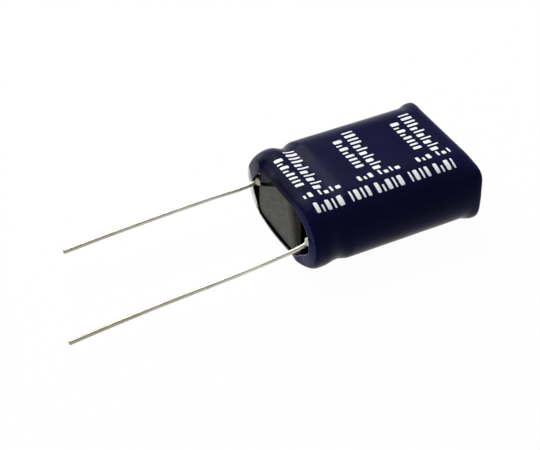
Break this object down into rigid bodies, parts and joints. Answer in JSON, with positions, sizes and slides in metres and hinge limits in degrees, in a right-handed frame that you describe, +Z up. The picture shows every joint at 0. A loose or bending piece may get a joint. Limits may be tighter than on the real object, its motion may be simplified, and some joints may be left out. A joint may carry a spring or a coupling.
{
  "type": "supercapacitor",
  "caption": "Flat oblong supercapacitor: wound cells in series, side by side in a shrink sleeve, with tinned wire leads past an insulator card.",
  "frame": {"origin": "middle of the flat side that the pack lies on", "axes": "+Y from the leads to the closed ends, +X from the negative to the positive cell, +Z up"},
  "size_m": [0.0168, 0.0478, 0.0085],
  "materials": {
    "sleeve": "glossy dark blue shrink film",
    "print": "white ink, printed on the film",
    "card": "matt grey pressboard",
    "solder": "dull solder",
    "tinned_wire": "satin tin plate",
    "terminal": "plain",
    "seal": "matt black",
    "can": "drawn, satin",
    "cell_film": "thin dark shrink film",
    "winding": "separator paper soaked with electrolyte",
    "tape": "amber tape"
  },
  "bodies": {
    "root": {"outer_sleeve": "sleeve", "insulator_card": "card", "link_solder": "solder", "positive_lead": "tinned_wire", "negative_lead": "tinned_wire", "positive_link_wire": "tinned_wire", "negative_link_wire": "tinned_wire", "positive_tab": "terminal", "negative_tab": "terminal", "positive_link_tab": "terminal", "negative_link_tab": "terminal", "positive_seal": "seal", "negative_seal": "seal", "positive_can": "can", "negative_can": "can", "positive_cell_film": "cell_film", "negative_cell_film": "cell_film", "positive_winding": "winding", "negative_winding": "winding", "positive_winding_tape": "tape", "negative_winding_tape": "tape"}
  },
  "joints": []
}
